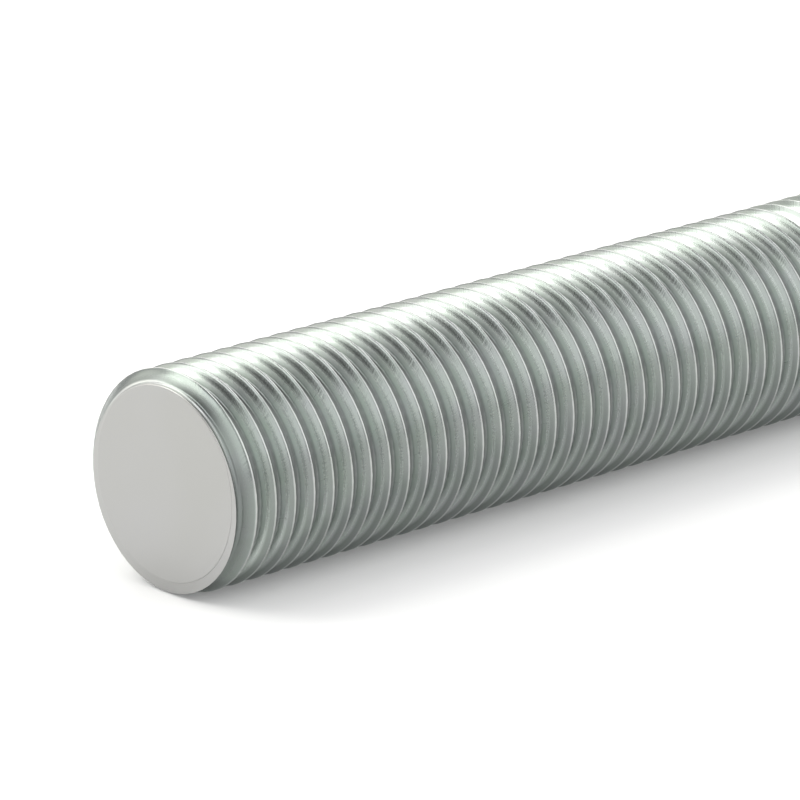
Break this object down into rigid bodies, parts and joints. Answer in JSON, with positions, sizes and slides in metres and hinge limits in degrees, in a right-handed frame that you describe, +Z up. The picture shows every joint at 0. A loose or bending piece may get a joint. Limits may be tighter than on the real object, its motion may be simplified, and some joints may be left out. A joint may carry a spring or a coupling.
{
  "type": "threaded rod",
  "caption": "Fully threaded steel rod with a coarse right-hand metric thread, square-cut ends with a shallow bevel and a bright plated finish.",
  "frame": {"origin": "centre of the rod, on its axis half way between the two end faces", "axes": "+X along the rod's axis towards the far end face, +Z up as the rod lies"},
  "size_m": [1, 0.0358, 0.036],
  "materials": {
    "plated_steel": "bright zinc-plated steel, satin, with fine marks across the thread's flanks and smooth cut end faces"
  },
  "bodies": {
    "root": {"threaded_rod": "plated_steel"}
  },
  "joints": []
}
